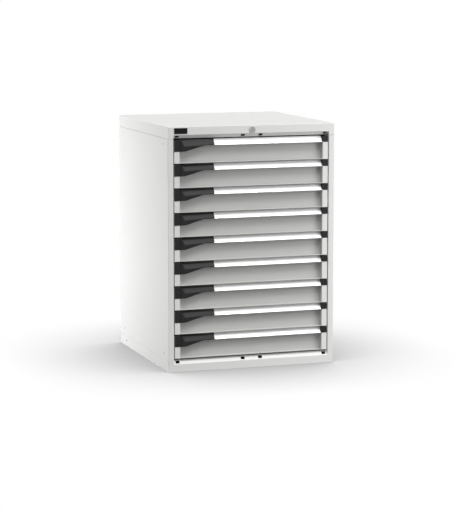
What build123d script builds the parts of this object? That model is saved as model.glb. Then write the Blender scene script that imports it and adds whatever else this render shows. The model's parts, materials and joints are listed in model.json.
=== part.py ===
"""Steel drawer cabinet: nine equal drawers on telescopic runners, pull latches and a top-rail lock.

Millimetres. X runs to the right as seen from the front, Y to the back, Z up.
The origin is on the floor, under the middle of the cabinet's outer box.
"""
from build123d import *
import math
import os

# Overall size
WIDTH = 717.0
DEPTH = 725.0
HEIGHT = 1000.0
DRAWERS = 9

# Sheet metal
SHEET = 1.5
BEND = 2.5
DRAWER_SHEET = 1.2
SEAM = 0.4
COVER_SEAM = 0.9

# Housing
POST_WIDTH = 24.0
POST_RETURN = 26.0
REAR_RETURN = 28.0
COVER_SKIRT = 48.0
BASE_SKIRT = 45.0
TOP_RAIL = 32.6
BOTTOM_RAIL = 32.0
BEVEL_DEPTH = 12.0
TOP_BEVEL = 14.5
BOTTOM_BEVEL = 17.6
BEVEL_RETURN = 14.0
BACK_PANEL_INSET = 9.0

# Rectangular slots in both bevels, and the base's holes
SLOT_WIDTH = 17.0
SLOT_HEIGHT = 12.5
SLOT_MIDDLE_X = 38.0
SLOT_END_SET = 40.0
FLOOR_HOLE_RADIUS = 6.0
FLOOR_HOLE_SET_X = 58.5
FLOOR_HOLE_SET_Y = 60.0
DRAIN_SLOT_LENGTH = 10.0
DRAIN_SLOT_HEIGHT = 5.0
DRAIN_SLOT_SET = 96.0
DRAIN_SLOT_Z = 23.0

# Slotted uprights
UPRIGHT_SET = 36.0
UPRIGHT_WIDTH = 30.0
UPRIGHT_SLOT_WIDTH = 8.0
UPRIGHT_SLOT_HEIGHT = 20.0

# Drawers
FIRST_DRAWER_DROP = 52.2
LAST_DRAWER_RISE = 56.0
DRAWER_GAP = 4.0
POST_GAP = 3.5
STRIP_WIDTH = 23.0
STRIP_SET = 1.5
RECESS_DEPTH = 20.0
STRIP_RETURN = 15.0
TRAY_CLEARANCE = 0.8
TRAY_FLOOR_RISE = 8.0
TRAY_WALL_DROP = 14.0
TRAY_REAR_SPACE = 86.1
TRAY_RIM = 8.0

# Telescopic runners: the cabinet's rail, the middle member and the rail welded to the tray
TRAVEL = 600.0
RAIL_SET = 30.0
RAIL_GAUGE = 2.0
RAIL_RISE = 48.0
RAIL_REAR_END = 40.0
CABINET_RAIL_WIDTH = 11.0
RUNNER_HEIGHT = 26.0
RUNNER_WIDTH = 19.0
RUNNER_SPARE = 10.0
TRAY_RAIL_WIDTH = 11.0
RAIL_PLAY = 0.5
RAIL_SIDE_PLAY = 1.0

# Handle profile, and the label strip's bed on its sloping face
HANDLE_WALL = 1.6
LABEL_TOP = 1.2
LABEL_BOTTOM = 23.0
LABEL_BOTTOM_SET = 1.0
LABEL_THICKNESS = 1.0
LABEL_LIP = 1.0
HANDLE_LEFT_FROM_STRIP = 147.5
HANDLE_FOOT = 13.0
HANDLE_FLANGE = 5.5
HANDLE_NOSE = 6.0
CAP_WALL = 2.6

# Pull latch
LATCH_HEIGHT = 48.2
LATCH_ROOT_WIDTH = 46.5
LATCH_CURVE_WIDTH = 80.0
LATCH_CURVE_RADIUS = 70.0
LATCH_WING_HEIGHT = 25.0
LATCH_WALL = 3.0
LATCH_GAP = 0.6
FACET_LEFT_EDGE = 28.8
FACET_RIGHT_EDGE = 21.2
FACET_TOP_SET = 12.5
FACET_START = 30.0
FACET_SLANT = 14.0
FACET_CORNER = 6.0
LATCH_TOP_DROP = 2.0
PIVOT_SET = 16.0
PIVOT_DROP = 7.5
PIVOT_RADIUS = 3.0
PIVOT_PLAY = 0.1
DIVIDER_THICKNESS = 5.0
RIGHT_CAP_HEIGHT = 24.3
CAP_TOP_DROP = 0.6
CAP_CHAMFER = 1.0

# Lock
LOCK_PROUD = 3.0
LOCK_DROP = 18.5
LOCK_FLANGE_RADIUS = 13.5
LOCK_FLANGE_BEVEL = 1.2
LOCK_BARREL_RADIUS = 11.0
LOCK_BARREL_LENGTH = 22.0
LOCK_NUT_WIDTH = 25.0
LOCK_NUT_THICKNESS = 5.0
PLUG_RADIUS = 8.0
PLUG_PLAY = 0.1
PLUG_SET = 0.6
KEYWAY_LENGTH = 9.0
KEYWAY_WIDTH = 2.0
KEYWAY_DEPTH = 8.0
KEYWAY_ANGLE = 45.0
CAM_SET = 24.0
CAM_THICKNESS = 3.0
CAM_RADIUS = 9.0
CAM_PIN_RADIUS = 2.0
CAM_PIN_LENGTH = 6.0
CAM_WIDTH = 9.0
LOCK_TURN = 90.0

# Slider and lock bar that the cam drives
SLIDER_SET = 29.0
SLIDER_THICKNESS = 2.0
SLIDER_HEIGHT = 12.0
SLIDER_PLATE_HEIGHT = 23.5
SLIDER_DROP = 43.0
SLIDER_PLATE_WIDTH = 26.0
SLIDER_END_GAP = 1.0
PIN_PLAY = 0.5
BAR_LIFT = 12.0
BAR_THICKNESS = 3.0
BAR_SET = 6.0
BAR_WIDTH = 14.0
BAR_GAP = 0.5
BAR_FOOT = 60.0
BAR_HEAD_DROP = 30.0
BAR_HEAD_HEIGHT = 15.0
BAR_HEAD_WIDTH = 22.5
BAR_PIN_DROP = 38.0
BAR_PIN_RADIUS = 2.0
BAR_PIN_LENGTH = 5.0
FINGER_WIDTH = 8.0
FINGER_HEIGHT = 8.0
FINGER_REACH = 1.8
FINGER_RISE = 20.0

# Small trim
BADGE_WIDTH = 56.2
BADGE_HEIGHT = 23.6
BADGE_THICKNESS = 1.0
BADGE_SET_X = 26.7
BADGE_DROP = 5.2
BADGE_CORNER = 2.0

# Places worked out from the sizes above
FRONT = -DEPTH / 2 + LOCK_PROUD
BACK = DEPTH / 2
MIDDLE_Y = (FRONT + BACK) / 2
HALF_WIDTH = WIDTH / 2
POST_INNER = HALF_WIDTH - POST_WIDTH
SKIN_INNER = HALF_WIDTH - SHEET
DRAWER_HALF = POST_INNER - POST_GAP
RECESS_HALF = DRAWER_HALF - STRIP_WIDTH
TRAY_HALF = RECESS_HALF - TRAY_CLEARANCE
STRIP_Y = FRONT + STRIP_SET
PANEL_Y = STRIP_Y + RECESS_DEPTH
LABEL_TOP_SET = STRIP_SET + RECESS_DEPTH - HANDLE_FLANGE
TRAY_FRONT_Y = PANEL_Y + DRAWER_SHEET
TRAY_BACK_Y = BACK - TRAY_REAR_SPACE
DRAWER_PITCH = (HEIGHT - FIRST_DRAWER_DROP - LAST_DRAWER_RISE + DRAWER_GAP) / DRAWERS
FRONT_HEIGHT = DRAWER_PITCH - DRAWER_GAP
DRAWER_TOPS = [HEIGHT - FIRST_DRAWER_DROP - n * DRAWER_PITCH for n in range(DRAWERS)]
RAIL_FRONT_Y = FRONT + RAIL_SET
RAIL_BACK_Y = TRAY_BACK_Y + RAIL_REAR_END
UPRIGHT_FRONT_Y = FRONT + UPRIGHT_SET
UPRIGHT_REAR_Y = RAIL_BACK_Y - UPRIGHT_WIDTH
RUNNER_LENGTH = TRAVEL + RUNNER_SPARE
RUNNER_WEB = TRAY_HALF + TRAY_RAIL_WIDTH + RAIL_SIDE_PLAY
UPRIGHT_X = POST_INNER - RAIL_SIDE_PLAY
CAP_INNER = RECESS_HALF - CAP_WALL
HANDLE_LEFT = -RECESS_HALF + HANDLE_LEFT_FROM_STRIP
DIVIDER_LEFT = HANDLE_LEFT - DIVIDER_THICKNESS
LATCH_LEFT = -CAP_INNER + LATCH_GAP
LATCH_RIGHT = DIVIDER_LEFT - LATCH_GAP
LATCH_CURVE_START = -DRAWER_HALF + LATCH_ROOT_WIDTH
LATCH_DEPTH = PIVOT_SET + PIVOT_RADIUS
LOCK_Z = HEIGHT - LOCK_DROP
CAM_SWING = math.radians(LOCK_TURN / 2)
SLIDER_TRAVEL = 2 * CAM_RADIUS * math.sin(CAM_SWING)
CAM_PIN_X = -CAM_RADIUS * math.sin(CAM_SWING)
CAM_PIN_Z = LOCK_Z - CAM_RADIUS * math.cos(CAM_SWING)
BAR_X = -POST_INNER - SHEET - BAR_GAP
BAR_PIN_X = BAR_X - BAR_THICKNESS / 2
BAR_PIN_Z = HEIGHT - BAR_PIN_DROP


def level(z):
    """The horizontal plane at height z."""
    return Plane.XY.offset(z)


def facing(y):
    """The upright plane at depth y, with X and Z as its own axes; a negative extrusion goes back."""
    return Plane.XZ.offset(-y)


def across(x):
    """The upright plane at x, with Y and Z as its own axes."""
    return Plane.YZ.offset(x)


def slab(xs, ys, zs, mode=Mode.ADD):
    """A plain block between two X, two Y and two Z values."""
    with BuildSketch(level(min(zs))) as plan:
        with Locations(((xs[0] + xs[1]) / 2, (ys[0] + ys[1]) / 2)):
            Rectangle(abs(xs[1] - xs[0]), abs(ys[1] - ys[0]))
    extrude(plan.sketch, amount=abs(zs[1] - zs[0]), mode=mode)


def folded(plane, points, gauge, length, side=Side.LEFT):
    """A folded sheet: its line turned with bends, thickened to one side and extruded."""
    with BuildSketch(plane) as section:
        with BuildLine():
            FilletPolyline(*points, radius=BEND)
            offset(amount=gauge, side=side)
        make_face()
    extrude(section.sketch, amount=length)


def outline(plane, points, length, mode=Mode.ADD):
    """A closed straight-sided outline, extruded."""
    with BuildSketch(plane) as section:
        with BuildLine():
            Polyline(*points, close=True)
        make_face()
    extrude(section.sketch, amount=length, mode=mode)


def save(builder, name):
    """Label a finished piece and write it to its own file."""
    builder.part.label = name
    export_step(builder.part, f"parts/{name}.step")


def bevel_slots(edge_z, depth_z):
    """The four rectangular slots through a bevel that runs from its rail's edge to depth_z."""
    middle = Vector(0, FRONT + BEVEL_DEPTH / 2, (edge_z + depth_z) / 2)
    run = Vector(0, BEVEL_DEPTH, depth_z - edge_z)
    normal = Vector(1, 0, 0).cross(run).normalized()
    end_x = HALF_WIDTH - SLOT_END_SET
    with BuildSketch(Plane(origin=middle, x_dir=(1, 0, 0), z_dir=normal)) as slots:
        with Locations(*[(x, 0) for x in (-end_x, -SLOT_MIDDLE_X, SLOT_MIDDLE_X, end_x)]):
            Rectangle(SLOT_WIDTH, SLOT_HEIGHT)
    extrude(slots.sketch, amount=2 * SHEET, both=True, mode=Mode.SUBTRACT)


def side_panel():
    """The left side: outer skin, front post with its inner wall, and rear return, in one sheet."""
    floor_z = BASE_SKIRT + SEAM
    roof_z = HEIGHT - COVER_SKIRT - COVER_SEAM
    points = (
        (-HALF_WIDTH + REAR_RETURN, BACK),
        (-HALF_WIDTH, BACK),
        (-HALF_WIDTH, FRONT),
        (-POST_INNER, FRONT),
        (-POST_INNER, FRONT + POST_RETURN),
    )
    with BuildPart() as panel:
        folded(level(floor_z), points, SHEET, roof_z - floor_z)
    return panel


def finger_slots(top):
    """The slot in the left post's inner wall for one finger of the lock bar."""
    low = top - FINGER_RISE - FINGER_HEIGHT / 2
    middle_y = FRONT + BAR_SET + BAR_WIDTH / 2
    half = FINGER_WIDTH / 2 + BAR_GAP
    slab((-POST_INNER - SHEET, -POST_INNER), (middle_y - half, middle_y + half),
         (low - BAR_GAP, low + FINGER_HEIGHT + BAR_LIFT + BAR_GAP), Mode.SUBTRACT)


os.makedirs("parts", exist_ok=True)

# Side panels
left_panel = side_panel()
with BuildPart() as right_side:
    add(mirror(left_panel.part, about=Plane.YZ))
save(right_side, "right_side")

with BuildPart() as left_side:
    add(left_panel.part)
    for drawer_top in DRAWER_TOPS:
        finger_slots(drawer_top)
save(left_side, "left_side")

# Back panel, held inside the skirts and the rear returns
with BuildPart() as back_panel:
    slab((-HALF_WIDTH + BACK_PANEL_INSET, HALF_WIDTH - BACK_PANEL_INSET),
         (BACK - 2 * SHEET, BACK - SHEET),
         (BACK_PANEL_INSET, HEIGHT - BACK_PANEL_INSET))
save(back_panel, "back_panel")


def open_pan(low_z, high_z, floor_up):
    """A shallow folded pan over the whole plan, closed below (floor_up False) or above (True)."""
    with BuildSketch(level(low_z)) as plan:
        with Locations((0, MIDDLE_Y)):
            RectangleRounded(WIDTH, BACK - FRONT, BEND)
    extrude(plan.sketch, amount=high_z - low_z)
    inner_low = low_z if floor_up else low_z + SHEET
    with BuildSketch(level(inner_low)) as hollow:
        with Locations((0, MIDDLE_Y)):
            RectangleRounded(WIDTH - 2 * SHEET, BACK - FRONT - 2 * SHEET, BEND - SHEET)
    extrude(hollow.sketch, amount=high_z - low_z - SHEET, mode=Mode.SUBTRACT)


def corner_walls(low_z, high_z):
    """The inner walls of the two corner boxes, in line with the posts' inner walls."""
    for side in (-1, 1):
        slab((side * POST_INNER, side * (POST_INNER + SHEET)),
             (FRONT, FRONT + POST_RETURN), (low_z, high_z))


# Top cover with its front rail, bevel and lock hole
with BuildPart() as top_cover:
    open_pan(HEIGHT - COVER_SKIRT, HEIGHT, True)
    fillet(top_cover.faces().sort_by(Axis.Z)[-1].outer_wire().edges(), BEND)
    corner_walls(HEIGHT - COVER_SKIRT, HEIGHT - SHEET)
    slab((-POST_INNER, POST_INNER), (FRONT, FRONT + SHEET),
         (HEIGHT - COVER_SKIRT, HEIGHT - TOP_RAIL), Mode.SUBTRACT)
    rail_z = HEIGHT - TOP_RAIL
    inner_z = rail_z - TOP_BEVEL
    rail = (
        (FRONT + BEVEL_DEPTH + BEVEL_RETURN, inner_z),
        (FRONT + BEVEL_DEPTH, inner_z),
        (FRONT, rail_z),
        (FRONT, rail_z + BEVEL_DEPTH),
    )
    folded(across(-POST_INNER), rail, SHEET, 2 * POST_INNER, Side.RIGHT)
    bevel_slots(rail_z, inner_z)
    with BuildSketch(facing(FRONT)):
        with Locations((0, LOCK_Z)):
            Circle(LOCK_BARREL_RADIUS + PLUG_PLAY)
    extrude(amount=-SHEET, mode=Mode.SUBTRACT)
save(top_cover, "top_cover")

# Base with its floor, front rail, bevel, floor-fixing holes and drain slots
with BuildPart() as base:
    open_pan(0, BASE_SKIRT, False)
    corner_walls(SHEET, BASE_SKIRT)
    slab((-POST_INNER, POST_INNER), (FRONT, FRONT + SHEET), (BOTTOM_RAIL, BASE_SKIRT), Mode.SUBTRACT)
    inner_z = BOTTOM_RAIL + BOTTOM_BEVEL
    rail = (
        (FRONT, BOTTOM_RAIL - BEVEL_DEPTH),
        (FRONT, BOTTOM_RAIL),
        (FRONT + BEVEL_DEPTH, inner_z),
        (FRONT + BEVEL_DEPTH + BEVEL_RETURN, inner_z),
    )
    folded(across(-POST_INNER + SEAM), rail, SHEET, 2 * (POST_INNER - SEAM), Side.RIGHT)
    bevel_slots(BOTTOM_RAIL, inner_z)
    hole_x = HALF_WIDTH - FLOOR_HOLE_SET_X
    hole_y = (BACK - FRONT) / 2 - FLOOR_HOLE_SET_Y
    with BuildSketch(level(0)):
        with Locations(*[(x, MIDDLE_Y + y) for x in (-hole_x, hole_x) for y in (-hole_y, hole_y)]):
            Circle(FLOOR_HOLE_RADIUS)
    extrude(amount=SHEET, mode=Mode.SUBTRACT)
    with BuildSketch(across(-HALF_WIDTH)):
        with Locations((BACK - DRAIN_SLOT_SET, DRAIN_SLOT_Z)):
            Rectangle(DRAIN_SLOT_LENGTH, DRAIN_SLOT_HEIGHT)
    extrude(amount=WIDTH, mode=Mode.SUBTRACT)
save(base, "base")


def rail_height(top):
    """The height of a drawer's runner axis."""
    return top - FRONT_HEIGHT + RAIL_RISE


def uprights(side):
    """The front and rear channels that carry one side's rails, with a slot behind each rail."""
    with BuildPart() as pair:
        for y in (UPRIGHT_FRONT_Y, UPRIGHT_REAR_Y):
            points = [
                (side * SKIN_INNER, y),
                (side * UPRIGHT_X, y),
                (side * UPRIGHT_X, y + UPRIGHT_WIDTH),
                (side * SKIN_INNER, y + UPRIGHT_WIDTH),
            ]
            if side > 0:
                points.reverse()
            folded(level(SHEET), points, SHEET, HEIGHT - 2 * SHEET)
            middle_y = y + UPRIGHT_WIDTH / 2
            with BuildSketch(across(side * UPRIGHT_X)):
                with Locations(*[(middle_y, rail_height(top)) for top in DRAWER_TOPS]):
                    Rectangle(UPRIGHT_SLOT_WIDTH, UPRIGHT_SLOT_HEIGHT)
            extrude(amount=side * SHEET, mode=Mode.SUBTRACT)
    return pair


def channel_points(side, web_x, flange_x, middle_z, height, gauge):
    """A channel section in X and Z with its web at web_x and its flanges reaching to flange_x."""
    half = height / 2
    inner_x = web_x + math.copysign(gauge, flange_x - web_x)
    return (
        (side * flange_x, middle_z - half),
        (side * web_x, middle_z - half),
        (side * web_x, middle_z + half),
        (side * flange_x, middle_z + half),
        (side * flange_x, middle_z + half - gauge),
        (side * inner_x, middle_z + half - gauge),
        (side * inner_x, middle_z - half + gauge),
        (side * flange_x, middle_z - half + gauge),
    )


def cabinet_rails(side):
    """One side's fixed rails, a channel open to the drawer at each drawer's height."""
    outer_height = RUNNER_HEIGHT + 2 * (RAIL_PLAY + RAIL_GAUGE)
    with BuildPart() as rails:
        for top in DRAWER_TOPS:
            points = channel_points(side, UPRIGHT_X, UPRIGHT_X - CABINET_RAIL_WIDTH,
                                    rail_height(top), outer_height, RAIL_GAUGE)
            outline(facing(RAIL_FRONT_Y), points, RAIL_FRONT_Y - RAIL_BACK_Y)
    return rails


for side_sign, side_name in ((-1, "left"), (1, "right")):
    upright_pair = uprights(side_sign)
    save(upright_pair, f"{side_name}_uprights")
    rail_set = cabinet_rails(side_sign)
    save(rail_set, f"{side_name}_rails")

# Lock: flanged body with its nut, and the plug with its cam
with BuildPart() as lock_body:
    with BuildSketch(facing(FRONT)):
        with Locations((0, LOCK_Z)):
            Circle(LOCK_FLANGE_RADIUS)
    extrude(amount=LOCK_PROUD)
    chamfer(lock_body.edges().group_by(Axis.Y)[0], LOCK_FLANGE_BEVEL)
    with BuildSketch(facing(FRONT)):
        with Locations((0, LOCK_Z)):
            Circle(LOCK_BARREL_RADIUS)
    extrude(amount=-LOCK_BARREL_LENGTH)
    with BuildSketch(facing(FRONT - LOCK_PROUD)):
        with Locations((0, LOCK_Z)):
            Circle(PLUG_RADIUS + PLUG_PLAY)
    extrude(amount=-LOCK_BARREL_LENGTH - LOCK_PROUD, mode=Mode.SUBTRACT)
    with BuildSketch(facing(FRONT + SHEET)):
        with Locations((0, LOCK_Z)):
            RegularPolygon(LOCK_NUT_WIDTH / 2, 6, major_radius=False)
            Circle(LOCK_BARREL_RADIUS + PLUG_PLAY, mode=Mode.SUBTRACT)
    extrude(amount=-LOCK_NUT_THICKNESS)
save(lock_body, "lock_body")

with BuildPart() as lock_plug:
    plug_face = FRONT - LOCK_PROUD + PLUG_SET
    cam_y = FRONT + CAM_SET
    with BuildSketch(facing(plug_face)):
        with Locations((0, LOCK_Z)):
            Circle(PLUG_RADIUS)
    extrude(amount=plug_face - cam_y)
    with BuildSketch(facing(plug_face)):
        with Locations(Location((0, LOCK_Z, 0), (0, 0, KEYWAY_ANGLE))):
            Rectangle(KEYWAY_LENGTH, KEYWAY_WIDTH)
    extrude(amount=-KEYWAY_DEPTH, mode=Mode.SUBTRACT)
    with BuildSketch(facing(cam_y)):
        with Locations(Location((CAM_PIN_X / 2, (LOCK_Z + CAM_PIN_Z) / 2, 0), (0, 0, 90 - LOCK_TURN / 2))):
            SlotCenterToCenter(CAM_RADIUS, CAM_WIDTH)
    extrude(amount=-CAM_THICKNESS)
    with BuildSketch(facing(cam_y + CAM_THICKNESS)):
        with Locations((CAM_PIN_X, CAM_PIN_Z)):
            Circle(CAM_PIN_RADIUS)
    extrude(amount=-CAM_PIN_LENGTH)
save(lock_plug, "lock_plug")

# Slider behind the top rail: the cam's pin drives its right end, its left end lifts the bar
with BuildPart() as lock_slider:
    slider_y = FRONT + SLIDER_SET
    plate_low = HEIGHT - SLIDER_DROP
    plate_high = plate_low + SLIDER_PLATE_HEIGHT
    strip_middle = (plate_low + plate_high) / 2
    slider_left = -SKIN_INNER + SLIDER_END_GAP
    slider_right = CAM_PIN_X + SLIDER_PLATE_WIDTH / 2
    slot_radius = BAR_PIN_RADIUS + PIN_PLAY
    far_x = BAR_PIN_X - SLIDER_TRAVEL
    far_z = BAR_PIN_Z + BAR_LIFT
    with BuildSketch(facing(slider_y)):
        with Locations(((slider_left + slider_right) / 2, strip_middle)):
            Rectangle(slider_right - slider_left, SLIDER_HEIGHT)
        with Locations(((slider_left + BAR_PIN_X + SLIDER_PLATE_WIDTH / 2) / 2, strip_middle)):
            Rectangle(BAR_PIN_X + SLIDER_PLATE_WIDTH / 2 - slider_left, SLIDER_PLATE_HEIGHT)
        with Locations((CAM_PIN_X, strip_middle)):
            Rectangle(SLIDER_PLATE_WIDTH, SLIDER_PLATE_HEIGHT)
        slot_length = math.hypot(SLIDER_TRAVEL, BAR_LIFT)
        slot_angle = 180 - math.degrees(math.atan2(BAR_LIFT, SLIDER_TRAVEL))
        with Locations(Location(((BAR_PIN_X + far_x) / 2, (BAR_PIN_Z + far_z) / 2, 0), (0, 0, slot_angle))):
            SlotCenterToCenter(slot_length, 2 * slot_radius, mode=Mode.SUBTRACT)
        low_pin_z = LOCK_Z - CAM_RADIUS
        with Locations(Location((CAM_PIN_X, (low_pin_z + CAM_PIN_Z) / 2, 0), (0, 0, 90))):
            SlotCenterToCenter(CAM_PIN_Z - low_pin_z + PIN_PLAY, 2 * (CAM_PIN_RADIUS + PIN_PLAY),
                               mode=Mode.SUBTRACT)
    extrude(amount=-SLIDER_THICKNESS)
save(lock_slider, "lock_slider")

# Lock bar in the left post, with a finger for each drawer and the pin that the slider lifts
with BuildPart() as lock_bar:
    bar_x = (BAR_X - BAR_THICKNESS, BAR_X)
    bar_y = FRONT + BAR_SET
    head_top = HEIGHT - BAR_HEAD_DROP
    slab(bar_x, (bar_y, bar_y + BAR_WIDTH), (BAR_FOOT, head_top))
    slab(bar_x, (bar_y, bar_y + BAR_HEAD_WIDTH), (head_top - BAR_HEAD_HEIGHT, head_top))
    for drawer_top in DRAWER_TOPS:
        finger_low = drawer_top - FINGER_RISE - FINGER_HEIGHT / 2
        finger_middle = bar_y + BAR_WIDTH / 2
        slab((BAR_X, -POST_INNER + FINGER_REACH),
             (finger_middle - FINGER_WIDTH / 2, finger_middle + FINGER_WIDTH / 2),
             (finger_low, finger_low + FINGER_HEIGHT))
    with BuildSketch(facing(bar_y + BAR_WIDTH)):
        with Locations((BAR_PIN_X, BAR_PIN_Z)):
            Circle(BAR_PIN_RADIUS)
    extrude(amount=BAR_WIDTH - BAR_HEAD_WIDTH - BAR_PIN_LENGTH)
save(lock_bar, "lock_bar")

# Bare name plate on the top rail
with BuildPart() as badge_plate:
    badge_x = -HALF_WIDTH + BADGE_SET_X + BADGE_WIDTH / 2
    badge_z = HEIGHT - BADGE_DROP - BADGE_HEIGHT / 2
    with BuildSketch(facing(FRONT)):
        with Locations((badge_x, badge_z)):
            RectangleRounded(BADGE_WIDTH, BADGE_HEIGHT, BADGE_CORNER)
    extrude(amount=BADGE_THICKNESS)
    chamfer(badge_plate.faces().sort_by(Axis.Y)[0].edges(), BADGE_THICKNESS / 2)
save(badge_plate, "badge_plate")

def tray(top):
    """The folded drawer front and the open box welded behind it, with its rim and its rails."""
    bottom = top - FRONT_HEIGHT
    floor_z = bottom + TRAY_FLOOR_RISE
    wall_top = top - TRAY_WALL_DROP
    inner_half = TRAY_HALF - DRAWER_SHEET
    front_line = (
        (-DRAWER_HALF, STRIP_Y + STRIP_RETURN),
        (-DRAWER_HALF, STRIP_Y),
        (-RECESS_HALF, STRIP_Y),
        (-RECESS_HALF, PANEL_Y),
        (RECESS_HALF, PANEL_Y),
        (RECESS_HALF, STRIP_Y),
        (DRAWER_HALF, STRIP_Y),
        (DRAWER_HALF, STRIP_Y + STRIP_RETURN),
    )
    right_back = (
        (DRAWER_HALF - DRAWER_SHEET, STRIP_Y + STRIP_RETURN),
        (DRAWER_HALF - DRAWER_SHEET, STRIP_Y + DRAWER_SHEET),
        (RECESS_HALF + DRAWER_SHEET, STRIP_Y + DRAWER_SHEET),
        (RECESS_HALF + DRAWER_SHEET, PANEL_Y + DRAWER_SHEET),
    )
    left_back = [(-x, y) for x, y in reversed(right_back)]
    with BuildPart() as box:
        with BuildSketch(level(bottom)):
            with BuildLine():
                front = FilletPolyline(*front_line, radius=DRAWER_SHEET)
                Polyline(front @ 1, *right_back, *left_back, front @ 0)
            make_face()
        extrude(amount=FRONT_HEIGHT - HANDLE_WALL)
        slab((-RECESS_HALF, RECESS_HALF), (STRIP_Y, TRAY_FRONT_Y), (bottom, bottom + DRAWER_SHEET))
        slab((-TRAY_HALF, TRAY_HALF), (PANEL_Y, TRAY_BACK_Y), (floor_z, wall_top))
        slab((-inner_half, inner_half), (TRAY_FRONT_Y, TRAY_BACK_Y - DRAWER_SHEET),
             (floor_z + DRAWER_SHEET, wall_top), Mode.SUBTRACT)
        slab((-TRAY_HALF - TRAY_RIM, TRAY_HALF + TRAY_RIM), (TRAY_BACK_Y, TRAY_BACK_Y + TRAY_RIM),
             (wall_top - DRAWER_SHEET, wall_top))
        for side in (-1, 1):
            slab((side * TRAY_HALF, side * (TRAY_HALF + TRAY_RIM)), (TRAY_FRONT_Y, TRAY_BACK_Y),
                 (wall_top - DRAWER_SHEET, wall_top))
            tray_rail_height = RUNNER_HEIGHT - 2 * (RAIL_GAUGE + RAIL_PLAY)
            points = channel_points(side, TRAY_HALF, TRAY_HALF + TRAY_RAIL_WIDTH,
                                    rail_height(top), tray_rail_height, RAIL_GAUGE)
            outline(facing(RAIL_FRONT_Y), points, RAIL_FRONT_Y - TRAY_BACK_Y)
    return box


def handle(top):
    """The aluminium handle profile: foot on the panel, top flange, sloping label bed and nose."""
    slope = math.hypot(LABEL_TOP_SET - LABEL_BOTTOM_SET, LABEL_BOTTOM - LABEL_TOP)
    down_y = (LABEL_BOTTOM_SET - LABEL_TOP_SET) / slope
    down_z = (LABEL_TOP - LABEL_BOTTOM) / slope
    out_y = down_z
    out_z = -down_y

    def on_face(along, proud):
        """A point on the label's slope: along it from its top edge, and proud of its face."""
        y = FRONT + LABEL_TOP_SET + along * down_y + proud * out_y
        z = top - LABEL_TOP + along * down_z + proud * out_z
        return (y, z)

    bed = -LABEL_THICKNESS
    inside = -LABEL_THICKNESS - HANDLE_WALL

    def on_inside(z):
        """The point of the slope's inner face at height z."""
        return on_face((z - top + LABEL_TOP - inside * out_z) / down_z, inside)

    crest = on_face(-LABEL_LIP, 0)
    nose = on_face(slope + LABEL_LIP, 0)
    points = (
        (PANEL_Y, top - HANDLE_FOOT),
        (PANEL_Y, top - HANDLE_WALL),
        (PANEL_Y + DRAWER_SHEET, top - HANDLE_WALL),
        (PANEL_Y + DRAWER_SHEET, top),
        (crest[0], top),
        crest,
        on_face(0, 0),
        on_face(0, bed),
        on_face(slope, bed),
        on_face(slope, 0),
        nose,
        (nose[0] + HANDLE_NOSE, nose[1]),
        (nose[0] + HANDLE_NOSE, nose[1] + HANDLE_WALL),
        on_inside(nose[1] + HANDLE_WALL),
        on_inside(top - HANDLE_WALL),
        (PANEL_Y - HANDLE_WALL, top - HANDLE_WALL),
        (PANEL_Y - HANDLE_WALL, top - HANDLE_FOOT),
    )
    with BuildPart() as profile:
        outline(across(HANDLE_LEFT), points, CAP_INNER - HANDLE_LEFT)
    return profile


def latch_line():
    """The latch's outline below a drawer top at height 0: deep root, sloping curve and shallow wing."""
    with BuildLine() as line:
        curve = FilletPolyline(
            (LATCH_LEFT, -LATCH_HEIGHT),
            (LATCH_CURVE_START, -LATCH_HEIGHT),
            (LATCH_CURVE_START + LATCH_CURVE_WIDTH, -LATCH_WING_HEIGHT),
            (LATCH_RIGHT, -LATCH_WING_HEIGHT),
            radius=LATCH_CURVE_RADIUS,
        )
        Polyline(curve @ 1, (LATCH_RIGHT, -LATCH_TOP_DROP), (LATCH_LEFT, -LATCH_TOP_DROP), curve @ 0)
    return line.line


def root_line():
    """The root's outline; its right edge slants and rounds into the facet's lower corner."""
    facet_x = -DRAWER_HALF + FACET_START
    low_x = facet_x + FACET_SLANT
    end_x = low_x + FACET_CORNER
    with BuildLine() as line:
        slanted = FilletPolyline(
            (facet_x, -LATCH_TOP_DROP),
            (low_x, -FACET_LEFT_EDGE),
            (end_x, -FACET_LEFT_EDGE),
            radius=FACET_CORNER,
        )
        Polyline(slanted @ 1, (end_x, -LATCH_HEIGHT), (LATCH_LEFT, -LATCH_HEIGHT),
                 (LATCH_LEFT, -LATCH_TOP_DROP), slanted @ 0)
    return line.line


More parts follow.
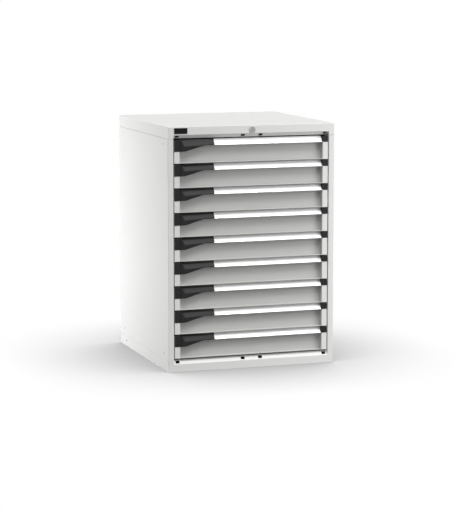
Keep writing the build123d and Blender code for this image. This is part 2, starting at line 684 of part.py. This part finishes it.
def latch(top):
    """The moulded pull latch: wing with a sloping facet, box-shaped root and pivot barrel."""
    placed = Plane(origin=(0, FRONT, top), x_dir=(1, 0, 0), z_dir=(0, -1, 0))
    left_low = Vector(LATCH_LEFT, FRONT, top - FACET_LEFT_EDGE)
    right_low = Vector(LATCH_RIGHT, FRONT, top - FACET_RIGHT_EDGE)
    middle_high = Vector((LATCH_LEFT + LATCH_RIGHT) / 2, FRONT + FACET_TOP_SET, top - LATCH_TOP_DROP)
    lower_edge = right_low - left_low
    slope = Plane(origin=left_low, x_dir=lower_edge, z_dir=lower_edge.cross(middle_high - left_low))
    with BuildPart() as moulding:
        with BuildSketch(slope):
            with Locations((lower_edge.length / 2, 0)):
                Rectangle(lower_edge.length + LATCH_HEIGHT, LATCH_HEIGHT, align=(Align.CENTER, Align.MIN))
        extrude(amount=-LATCH_WALL)
        band = (
            (LATCH_LEFT, -FACET_LEFT_EDGE),
            (LATCH_LEFT, -LATCH_HEIGHT),
            (LATCH_RIGHT, -LATCH_HEIGHT),
            (LATCH_RIGHT, -FACET_RIGHT_EDGE),
        )
        outline(placed, band, -LATCH_WALL)
        with BuildSketch(placed):
            add(root_line())
            make_face()
        extrude(amount=-LATCH_DEPTH)
        hollow_left = LATCH_LEFT + LATCH_WALL
        hollow_right = -DRAWER_HALF + FACET_START + FACET_SLANT - LATCH_WALL
        hollow = (
            (hollow_left, -FACET_LEFT_EDGE / 2),
            (hollow_right, -FACET_LEFT_EDGE),
            (hollow_right, LATCH_WALL - LATCH_HEIGHT),
            (hollow_left, LATCH_WALL - LATCH_HEIGHT),
        )
        outline(placed.offset(-LATCH_WALL), hollow, LATCH_WALL - LATCH_DEPTH, Mode.SUBTRACT)
        with BuildSketch(placed):
            add(latch_line())
            make_face()
        extrude(amount=-LATCH_DEPTH, mode=Mode.INTERSECT)
        with BuildSketch(across(LATCH_LEFT - CAP_WALL)):
            with Locations((FRONT + PIVOT_SET, top - PIVOT_DROP)):
                Circle(PIVOT_RADIUS)
        extrude(amount=LATCH_RIGHT - LATCH_LEFT + 2 * CAP_WALL)
    return moulding


def end_caps(top):
    """The latch's side cap, the divider at the handle's left end and the handle's right cap."""
    roof = top - CAP_TOP_DROP
    with BuildPart() as caps:
        for side, low in ((-1, top - LATCH_HEIGHT), (1, top - RIGHT_CAP_HEIGHT)):
            slab((side * CAP_INNER, side * DRAWER_HALF), (FRONT, STRIP_Y), (low, roof))
            slab((side * CAP_INNER, side * RECESS_HALF), (STRIP_Y, PANEL_Y - DRAWER_SHEET), (low, roof))
        face_edges = caps.edges().group_by(Axis.Y)[0]
        chamfer(face_edges, CAP_CHAMFER)
        with BuildSketch(across(DIVIDER_LEFT)):
            with BuildLine():
                Polyline(
                    (FRONT + LABEL_TOP_SET - LABEL_LIP, roof),
                    (FRONT, top - LABEL_BOTTOM),
                    (FRONT, top - LABEL_BOTTOM - LABEL_LIP),
                    (PANEL_Y, top - LABEL_BOTTOM - LABEL_LIP),
                    (PANEL_Y, roof),
                    close=True,
                )
            make_face()
        extrude(amount=DIVIDER_THICKNESS)
        with BuildSketch(across(-RECESS_HALF)):
            with Locations((FRONT + PIVOT_SET, top - PIVOT_DROP)):
                Circle(PIVOT_RADIUS + PIVOT_PLAY)
        extrude(amount=RECESS_HALF + HANDLE_LEFT - DIVIDER_THICKNESS / 2 + LATCH_GAP, mode=Mode.SUBTRACT)
    return caps


def runners(top):
    """The middle members of both telescopic runners, an H-section lying on its side."""
    middle_z = rail_height(top)
    with BuildPart() as members:
        for side in (-1, 1):
            web_x = side * (RUNNER_WEB + RAIL_GAUGE / 2)
            with BuildSketch(facing(RAIL_FRONT_Y)):
                with Locations((web_x, middle_z)):
                    Rectangle(RAIL_GAUGE, RUNNER_HEIGHT)
                    for end in (-1, 1):
                        with Locations((0, end * (RUNNER_HEIGHT - RAIL_GAUGE) / 2)):
                            Rectangle(RUNNER_WIDTH, RAIL_GAUGE)
            extrude(amount=-RUNNER_LENGTH)
    return members


for number, drawer_top in enumerate(DRAWER_TOPS, start=1):
    drawer_tray = tray(drawer_top)
    save(drawer_tray, f"drawer_{number}_tray")
    drawer_handle = handle(drawer_top)
    save(drawer_handle, f"drawer_{number}_handle")
    drawer_latch = latch(drawer_top)
    save(drawer_latch, f"drawer_{number}_latch")
    drawer_caps = end_caps(drawer_top)
    save(drawer_caps, f"drawer_{number}_end_caps")
    drawer_runners = runners(drawer_top)
    save(drawer_runners, f"drawer_{number}_runners")
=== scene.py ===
"""Finish, small trim, light and camera for the nine-drawer steel cabinet."""
import json
import math

import bmesh
import bpy
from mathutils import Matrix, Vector

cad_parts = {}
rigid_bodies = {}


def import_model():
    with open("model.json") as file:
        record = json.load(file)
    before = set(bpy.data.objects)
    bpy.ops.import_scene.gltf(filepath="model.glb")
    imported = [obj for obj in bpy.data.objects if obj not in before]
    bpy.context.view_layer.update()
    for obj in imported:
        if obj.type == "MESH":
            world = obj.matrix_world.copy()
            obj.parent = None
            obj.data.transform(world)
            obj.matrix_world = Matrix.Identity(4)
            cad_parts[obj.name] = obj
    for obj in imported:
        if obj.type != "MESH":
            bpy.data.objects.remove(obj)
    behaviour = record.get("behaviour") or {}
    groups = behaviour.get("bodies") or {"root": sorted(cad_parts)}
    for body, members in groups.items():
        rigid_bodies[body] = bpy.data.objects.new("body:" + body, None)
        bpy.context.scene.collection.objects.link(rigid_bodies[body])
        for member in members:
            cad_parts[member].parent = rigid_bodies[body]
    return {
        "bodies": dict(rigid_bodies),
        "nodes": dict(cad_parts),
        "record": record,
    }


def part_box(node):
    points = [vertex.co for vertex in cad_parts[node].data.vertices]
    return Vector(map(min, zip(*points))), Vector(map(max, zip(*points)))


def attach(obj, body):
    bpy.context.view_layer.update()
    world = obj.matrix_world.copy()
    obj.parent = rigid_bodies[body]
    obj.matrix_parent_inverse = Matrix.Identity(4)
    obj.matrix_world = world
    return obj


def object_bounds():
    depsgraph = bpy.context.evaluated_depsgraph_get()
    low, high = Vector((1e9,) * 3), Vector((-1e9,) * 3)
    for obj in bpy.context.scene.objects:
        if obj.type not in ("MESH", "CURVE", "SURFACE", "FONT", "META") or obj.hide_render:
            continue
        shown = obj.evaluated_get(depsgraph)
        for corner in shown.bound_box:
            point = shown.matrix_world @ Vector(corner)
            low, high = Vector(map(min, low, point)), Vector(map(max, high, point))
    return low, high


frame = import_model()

CAD_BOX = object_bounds()
LOW, HIGH = CAD_BOX
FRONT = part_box("left_side")[0].y

# The photograph's viewpoint: place in metres, angles in degrees, lens from the picture's long side
CAMERA_PLACE = (-2.6747, -7.9594, 1.6129)
CAMERA_YAW = 18.677
CAMERA_PITCH = 8.119
CAMERA_REACH = 100.0
SENSOR = 36.0
FOCAL_PIXELS = 1988.6
FRAME_LONG_SIDE = 512.0

# The handle's label bed as the CAD has it: heights down from the drawer's top, depths back from the
# housing's front, and the bed's own depth below its face
LABEL_TOP = 0.0012
LABEL_BOTTOM = 0.0230
LABEL_TOP_SET = 0.0160
LABEL_BOTTOM_SET = 0.0010
BED_DEPTH = 0.0010

# Label cards and their clear covers, both in the handle's bed
CARD_THICKNESS = 0.0004
COVER_THICKNESS = 0.0004
CARD_PLAY = 0.0004
CARD_END_PLAY = 0.0006

# The two end strips of a drawer front, whose faces have the housing's paint: their width, how far back
# from the housing's front that paint goes, and how far from the strip's inner fold it starts, which
# leaves the strips' inner walls in the drawers' darker tone as painted shade
STRIP_WIDTH = 0.0230
STRIP_DEPTH = 0.0200
INNER_WALL_SHADE_MARGIN = 0.0003

# Round plugs in the side panels, sunk into the skin and proud of it, with each ring's share of the
# radius and of the height
PLUG_RADIUS = 0.0055
PLUG_SUNK = 0.0008
PLUG_PROUD = 0.0007
PLUG_SET_Y = 0.062
PLUG_SET_Z = 0.072
PLUG_RINGS = ((1.0, 0.0), (1.0, 0.7), (0.82, 1.0), (0.5, 0.6))
PLUG_STEPS = 24

# Paint tones; the drawers' darker tone is also painted shade in the drawer fronts' recesses
HOUSING_TONE = (0.64, 0.64, 0.63)
DRAWER_TONE_AND_RECESS_SHADE = (0.45, 0.45, 0.44)

# Where most of a noise texture's values lie
NOISE_LOW = 0.3
NOISE_HIGH = 0.7

# Floor: its size and place, its bounce on the object, and how far and how dark its soft shadow goes
FLOOR_HALF = 30.0
FLOOR_DROP = 0.0005
FLOOR_BOUNCE = 0.20
SHADOW_REACH = 0.60
SHADOW_DARKEST = 0.02

# Studio light: the even part, wide soft suns as azimuth (0 from the front, 90 from the right),
# elevation, spread and strength, and soft lamps as place, target, size and power
WORLD_STRENGTH = 0.2
SUN_DISTANCE = 6.0
SUNS = {
    "sun_middle": (10.0, 42.0, 25.0, 0.25),
    "sun_high": (10.0, 62.0, 20.0, 2.25),
    "sun_steep": (10.0, 77.0, 20.0, 0.45),
    "sun_left": (-80.0, 25.0, 50.0, 1.1),
}
LAMPS = {
    "right_front": ((1.9, -1.6, 0.95), (0.3, -0.36, 0.45), (1.0, 1.8), 32.0),
    "left_rear_high": ((-1.5, 1.3, 0.9), (-0.36, 0.35, 0.7), (0.7, 0.5), 13.4),
    "left_rear_low": ((-1.5, 1.3, 0.12), (-0.36, 0.35, 0.05), (0.7, 0.2), 14.7),
    "rear_low": ((1.0, 3.0, 0.5), (0.2, 0.36, 0.5), (2.0, 0.8), 24.0),
}

DRAWERS = sorted(name for name in frame["bodies"] if name.startswith("drawer_"))


# Node helpers

def scaled(colour, factor):
    """A colour with each of its parts times a factor."""
    return [part * factor for part in colour]


def new_material(name, colour, roughness, metallic=0.0):
    """A material with one Principled shader, and its node tree and shader."""
    made = bpy.data.materials.new(name)
    made.use_nodes = True
    tree = made.node_tree
    shader = tree.nodes["Principled BSDF"]
    shader.inputs["Base Color"].default_value = (*colour, 1.0)
    shader.inputs["Roughness"].default_value = roughness
    shader.inputs["Metallic"].default_value = metallic
    return made, tree, shader


def place_in_piece(tree):
    """The shaded point in the piece's own coordinates, in metres."""
    return tree.nodes.new("ShaderNodeTexCoord").outputs["Object"]


def noise(tree, scale, detail=2.0, stretch=(1.0, 1.0, 1.0)):
    """A noise texture in the piece's own coordinates, in cycles per metre."""
    mapping = tree.nodes.new("ShaderNodeMapping")
    mapping.inputs["Scale"].default_value = stretch
    texture = tree.nodes.new("ShaderNodeTexNoise")
    texture.inputs["Scale"].default_value = scale
    texture.inputs["Detail"].default_value = detail
    tree.links.new(place_in_piece(tree), mapping.inputs["Vector"])
    tree.links.new(mapping.outputs["Vector"], texture.inputs["Vector"])
    return texture.outputs["Fac"]


def maths(tree, operation, first, second=None):
    """The result of one sum or test; each of the two terms is an output or a number."""
    node = tree.nodes.new("ShaderNodeMath")
    node.operation = operation
    for term, socket in zip((first, second), node.inputs):
        if isinstance(term, bpy.types.NodeSocket):
            tree.links.new(term, socket)
        elif term is not None:
            socket.default_value = term
    return node.outputs["Value"]


def laid_between(tree, source, low, high, start=0.0, end=1.0):
    """A value that goes from low to high as the source goes from start to end."""
    node = tree.nodes.new("ShaderNodeMapRange")
    node.inputs["From Min"].default_value = start
    node.inputs["From Max"].default_value = end
    node.inputs["To Min"].default_value = low
    node.inputs["To Max"].default_value = high
    tree.links.new(source, node.inputs["Value"])
    return node.outputs["Result"]


def spread(tree, source, low, high):
    """A noise value laid between two numbers."""
    return laid_between(tree, source, low, high, start=NOISE_LOW, end=NOISE_HIGH)


def tint(tree, source, dark, light):
    """A colour that goes from dark to light with a value."""
    node = tree.nodes.new("ShaderNodeMix")
    node.data_type = "RGBA"
    node.inputs["A"].default_value = (*dark, 1.0)
    node.inputs["B"].default_value = (*light, 1.0)
    tree.links.new(source, node.inputs["Factor"])
    return node.outputs["Result"]


def relief(tree, shader, source, depth):
    """A bump of a real depth in metres."""
    bump = tree.nodes.new("ShaderNodeBump")
    bump.inputs["Strength"].default_value = 1.0
    bump.inputs["Distance"].default_value = depth
    tree.links.new(source, bump.inputs["Height"])
    tree.links.new(bump.outputs["Normal"], shader.inputs["Normal"])


# Materials: noise scales are cycles per metre, depths of relief are metres

def powder_coat(name, colour):
    """Matt powder coat: a fine orange peel, with faint changes of tone and gloss."""
    made, tree, shader = new_material(name, colour, roughness=0.66)
    shader.inputs["Specular IOR Level"].default_value = 0.25
    tone = tint(tree, noise(tree, scale=4.0), scaled(colour, 0.985), colour)
    gloss = spread(tree, noise(tree, scale=60.0), low=0.63, high=0.69)
    tree.links.new(tone, shader.inputs["Base Color"])
    tree.links.new(gloss, shader.inputs["Roughness"])
    relief(tree, shader, noise(tree, scale=900.0, detail=3.0), depth=0.00002)
    return made


def strip_faces(tree):
    """1 on the faces of a drawer front's two end strips, 0 elsewhere on the drawer box, where the darker
    tone also paints the recess's shade.
    """
    axes = tree.nodes.new("ShaderNodeSeparateXYZ")
    tree.links.new(place_in_piece(tree), axes.inputs["Vector"])
    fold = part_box("drawer_1_tray")[1].x - STRIP_WIDTH
    from_middle = maths(tree, "ABSOLUTE", axes.outputs["X"])
    # the strips' inner walls stand at the fold itself, so they keep the darker tone as painted shade
    outside_fold = maths(tree, "GREATER_THAN", from_middle, fold + INNER_WALL_SHADE_MARGIN)
    at_front = maths(tree, "LESS_THAN", axes.outputs["Y"], FRONT + STRIP_DEPTH)
    return maths(tree, "MULTIPLY", outside_fold, at_front)


def two_tone_coat_with_recess_shade(name, colour, strip_colour):
    """The drawers' powder coat in a darker tone, which is also painted shade on the front's recessed panel
    and the strips' inner walls, with the faces of the front's end strips in the lighter tone.
    """
    made = powder_coat(name, colour)
    tree = made.node_tree
    base = tree.nodes["Principled BSDF"].inputs["Base Color"]
    mix = tree.nodes.new("ShaderNodeMix")
    mix.data_type = "RGBA"
    mix.inputs["B"].default_value = (*strip_colour, 1.0)
    tree.links.new(strip_faces(tree), mix.inputs["Factor"])
    tree.links.new(base.links[0].from_socket, mix.inputs["A"])
    tree.links.new(mix.outputs["Result"], base)
    return made


def moulded_plastic(name, colour, roughness, specular):
    """Moulded plastic with a fine eroded grain."""
    made, tree, shader = new_material(name, colour, roughness)
    shader.inputs["Specular IOR Level"].default_value = specular
    tone = tint(tree, noise(tree, scale=25.0), colour, scaled(colour, 1.15))
    gloss = spread(tree, noise(tree, scale=300.0), low=roughness - 0.04, high=roughness + 0.04)
    tree.links.new(tone, shader.inputs["Base Color"])
    tree.links.new(gloss, shader.inputs["Roughness"])
    relief(tree, shader, noise(tree, scale=2200.0, detail=4.0), depth=0.00002)
    return made


def drawn_metal(name, colour, roughness, stretch):
    """Metal with fine lines along one axis, from rolling, drawing or brushing."""
    made, tree, shader = new_material(name, colour, roughness, metallic=1.0)
    lines = noise(tree, scale=900.0, detail=4.0, stretch=stretch)
    tone = tint(tree, lines, scaled(colour, 0.9), colour)
    gloss = spread(tree, lines, low=roughness - 0.05, high=roughness + 0.07)
    tree.links.new(tone, shader.inputs["Base Color"])
    tree.links.new(gloss, shader.inputs["Roughness"])
    relief(tree, shader, lines, depth=0.000006)
    return made


def zinc_plate(name):
    """Zinc-plated sheet steel: a faint spangle over rolled lines."""
    made, tree, shader = new_material(name, (0.60, 0.61, 0.62), roughness=0.34, metallic=1.0)
    spangle = tree.nodes.new("ShaderNodeTexVoronoi")
    spangle.inputs["Scale"].default_value = 140.0
    tree.links.new(place_in_piece(tree), spangle.inputs["Vector"])
    tone = tint(tree, spangle.outputs["Distance"], (0.50, 0.51, 0.53), (0.68, 0.69, 0.69))
    gloss = spread(tree, noise(tree, scale=200.0), low=0.28, high=0.42)
    tree.links.new(tone, shader.inputs["Base Color"])
    tree.links.new(gloss, shader.inputs["Roughness"])
    relief(tree, shader, noise(tree, scale=500.0, stretch=(1.0, 0.05, 1.0)), depth=0.000008)
    return made


def printed_card(name):
    """White label card: a paper tone with fine fibres."""
    made, tree, shader = new_material(name, (0.90, 0.90, 0.90), roughness=0.5)
    fibres = noise(tree, scale=700.0, detail=5.0)
    tone = tint(tree, fibres, (0.93, 0.93, 0.925), (0.96, 0.96, 0.96))
    tree.links.new(tone, shader.inputs["Base Color"])
    relief(tree, shader, fibres, depth=0.000004)
    return made


def clear_strip(name):
    """Thin clear plastic over the card: most of it is see-through, with a soft sheen."""
    made, tree, shader = new_material(name, (0.97, 0.97, 0.97), roughness=0.12)
    shader.inputs["Alpha"].default_value = 0.25
    relief(tree, shader, noise(tree, scale=30.0), depth=0.00001)
    return made


SLOT_MATERIALS = {
    "housing_paint": powder_coat("housing_paint", HOUSING_TONE),
    # drawer_paint: the darker tone is also painted shade on the recessed panel and on the strips' inner
    # walls
    "drawer_paint": two_tone_coat_with_recess_shade("drawer_paint", DRAWER_TONE_AND_RECESS_SHADE, HOUSING_TONE),
    "handle_metal": drawn_metal("handle_metal", (0.86, 0.86, 0.86), 0.3, stretch=(0.02, 1.0, 1.0)),
    "black_plastic": moulded_plastic("black_plastic", (0.010, 0.010, 0.0105), 0.42, specular=0.18),
    "lock_metal": drawn_metal("lock_metal", (0.36, 0.36, 0.35), 0.3, stretch=(1.0, 1.0, 0.1)),
    "runner_steel": zinc_plate("runner_steel"),
    "label_card": printed_card("label_card"),
    "plug_plastic": moulded_plastic("plug_plastic", (0.42, 0.42, 0.41), 0.4, specular=0.3),
}
BADGE_PLASTIC = moulded_plastic("badge_plastic", (0.006, 0.006, 0.007), 0.3, specular=0.1)
CLEAR_STRIP = clear_strip("clear_strip")


# Pieces

def dress_nodes():
    """Give every CAD node the material of its slot, and the bare badge plate its own black."""
    slots = {row["node"]: row["material_slot"] for row in frame["record"]["subparts"]}
    for name, node in frame["nodes"].items():
        made = BADGE_PLASTIC if name == "badge_plate" else SLOT_MATERIALS[slots[name]]
        node.data.materials.clear()
        node.data.materials.append(made)


def piece_from(name, mesh, made, body):
    """A new piece from a bmesh, with its material and body."""
    data = bpy.data.meshes.new(name)
    mesh.to_mesh(data)
    mesh.free()
    data.materials.append(made)
    piece = bpy.data.objects.new(name, data)
    bpy.context.scene.collection.objects.link(piece)
    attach(piece, body)


def bed_strip(name, drawer, made, low_depth, high_depth):
    """A flat strip between two depths below the face of a handle's label bed."""
    low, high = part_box(f"{drawer}_handle")
    upper = Vector((0, FRONT + LABEL_TOP_SET, high.z - LABEL_TOP))
    lower = Vector((0, FRONT + LABEL_BOTTOM_SET, high.z - LABEL_BOTTOM))
    down = (lower - upper).normalized()
    out = Vector((0, down.z, -down.y))
    mesh = bmesh.new()
    corners = []
    for x in (low.x + CARD_END_PLAY, high.x - CARD_END_PLAY):
        for edge in (upper + down * CARD_PLAY, lower - down * CARD_PLAY):
            for depth in (low_depth, high_depth):
                corners.append(mesh.verts.new(Vector((x, 0, 0)) + edge - out * depth))
    bmesh.ops.convex_hull(mesh, input=corners)
    piece_from(name, mesh, made, drawer)


def label_strip(drawer):
    """The white card on the floor of the bed, and its clear cover just under flush with the lips."""
    card_face = BED_DEPTH - CARD_THICKNESS
    cover_face = card_face - COVER_THICKNESS
    bed_strip(f"{drawer}_label_card", drawer, SLOT_MATERIALS["label_card"], BED_DEPTH, card_face)
    bed_strip(f"{drawer}_label_cover", drawer, CLEAR_STRIP, card_face, cover_face)


def side_plug(name, side, y, z):
    """A round plug with a low dished head, pressed into a side panel."""
    mesh = bmesh.new()
    loops = []
    for radius_share, height_share in PLUG_RINGS:
        x = side * (HIGH.x - PLUG_SUNK + (PLUG_SUNK + PLUG_PROUD) * height_share)
        radius = PLUG_RADIUS * radius_share
        turns = [2 * math.pi * step / PLUG_STEPS for step in range(PLUG_STEPS)]
        loops.append([
            mesh.verts.new((x, y + radius * math.cos(turn), z + radius * math.sin(turn)))
            for turn in turns
        ])
    for near, far in zip(loops, loops[1:]):
        for step in range(PLUG_STEPS):
            following = (step + 1) % PLUG_STEPS
            mesh.faces.new((near[step], near[following], far[following], far[step]))
    mesh.faces.new(loops[-1])
    mesh.faces.new(list(reversed(loops[0])))
    bmesh.ops.recalc_face_normals(mesh, faces=mesh.faces)
    piece_from(name, mesh, SLOT_MATERIALS["plug_plastic"], "cabinet")


def side_plugs():
    """Four plugs in each side panel, near its corners."""
    for side_name, side in (("left", -1), ("right", 1)):
        for y_name, y in (("front", FRONT + PLUG_SET_Y), ("rear", HIGH.y - PLUG_SET_Y)):
            for z_name, z in (("low", PLUG_SET_Z), ("high", HIGH.z - PLUG_SET_Z)):
                side_plug(f"{side_name}_{y_name}_{z_name}_plug", side, y, z)


# Stage: light, floor and camera

def add_lamp(name, data, place, towards):
    """A lamp that shines from its place along a direction."""
    lamp = bpy.data.objects.new(name, data)
    bpy.context.scene.collection.objects.link(lamp)
    lamp.location = place
    lamp.rotation_mode = "QUATERNION"
    lamp.rotation_quaternion = towards.to_track_quat("-Z", "Y")


def soft_sun(name, azimuth, elevation, width, strength):
    """A distant light as wide as a cloudy patch of sky, the same over the whole cabinet."""
    data = bpy.data.lights.new(name, "SUN")
    data.angle = math.radians(width)
    data.energy = strength
    level = math.cos(math.radians(elevation))
    source = Vector((
        math.sin(math.radians(azimuth)) * level,
        -math.cos(math.radians(azimuth)) * level,
        math.sin(math.radians(elevation)),
    ))
    add_lamp(name, data, source * SUN_DISTANCE, -source)


def area_light(name, place, target, size, power):
    """A soft area light turned towards a point."""
    data = bpy.data.lights.new(name, "AREA")
    data.shape = "RECTANGLE"
    data.size, data.size_y = size
    data.energy = power
    add_lamp(name, data, place, Vector(target) - Vector(place))


def seen_ray(tree):
    """1 on rays from the camera, in mirror reflections and through clear pieces, 0 on light's own rays."""
    path = tree.nodes.new("ShaderNodeLightPath")
    seen = path.outputs["Is Camera Ray"]
    for kind in ("Is Glossy Ray", "Is Transmission Ray"):
        seen = maths(tree, "MAXIMUM", seen, path.outputs[kind])
    return seen


def set_world():
    """An even studio light, seen by the camera and in reflections as plain white."""
    world = bpy.data.worlds.new("studio")
    bpy.context.scene.world = world
    world.use_nodes = True
    tree = world.node_tree
    background = tree.nodes["Background"]
    background.inputs["Color"].default_value = (1.0, 1.0, 1.0, 1.0)
    strength = laid_between(tree, seen_ray(tree), WORLD_STRENGTH, 1.0)
    tree.links.new(strength, background.inputs["Strength"])


def floor_white():
    """The floor as it is seen: white, with the cabinet's soft shadow; on light's own rays a dull white."""
    made = bpy.data.materials.new("floor_white")
    made.use_nodes = True
    tree = made.node_tree
    tree.nodes.clear()
    output = tree.nodes.new("ShaderNodeOutputMaterial")
    near = tree.nodes.new("ShaderNodeAmbientOcclusion")
    near.inputs["Distance"].default_value = SHADOW_REACH
    white = tree.nodes.new("ShaderNodeEmission")
    bounced = tree.nodes.new("ShaderNodeBsdfDiffuse")
    bounced.inputs["Color"].default_value = (FLOOR_BOUNCE, FLOOR_BOUNCE, FLOOR_BOUNCE, 1.0)
    mix = tree.nodes.new("ShaderNodeMixShader")
    bounced_input, seen_input = mix.inputs[1:]
    shadow = laid_between(tree, near.outputs["AO"], SHADOW_DARKEST, 1.0)
    tree.links.new(shadow, white.inputs["Strength"])
    tree.links.new(seen_ray(tree), mix.inputs["Fac"])
    tree.links.new(bounced.outputs["BSDF"], bounced_input)
    tree.links.new(white.outputs["Emission"], seen_input)
    tree.links.new(mix.outputs["Shader"], output.inputs["Surface"])
    return made


def make_floor():
    """A wide floor just under the cabinet."""
    mesh = bmesh.new()
    bmesh.ops.create_grid(mesh, x_segments=1, y_segments=1, size=FLOOR_HALF)
    data = bpy.data.meshes.new("floor")
    mesh.to_mesh(data)
    mesh.free()
    data.materials.append(floor_white())
    floor = bpy.data.objects.new("floor", data)
    floor.location.z = LOW.z - FLOOR_DROP
    bpy.context.scene.collection.objects.link(floor)


def make_camera():
    """The camera where the photograph was taken from."""
    data = bpy.data.cameras.new("camera")
    data.sensor_width = SENSOR
    data.lens = SENSOR * FOCAL_PIXELS / FRAME_LONG_SIDE
    data.clip_end = CAMERA_REACH
    camera = bpy.data.objects.new("camera", data)
    bpy.context.scene.collection.objects.link(camera)
    camera.location = CAMERA_PLACE
    camera.rotation_euler = (math.radians(90 - CAMERA_PITCH), 0.0, -math.radians(CAMERA_YAW))
    bpy.context.scene.camera = camera


dress_nodes()
for drawer_name in DRAWERS:
    label_strip(drawer_name)
side_plugs()

make_floor()
make_camera()
set_world()
for sun_name, (azimuth, elevation, width, strength) in SUNS.items():
    soft_sun(sun_name, azimuth, elevation, width, strength)
for lamp_name, (place, target, size, power) in LAMPS.items():
    area_light(lamp_name, place, target, size, power)

bpy.context.scene.view_settings.view_transform = "Standard"
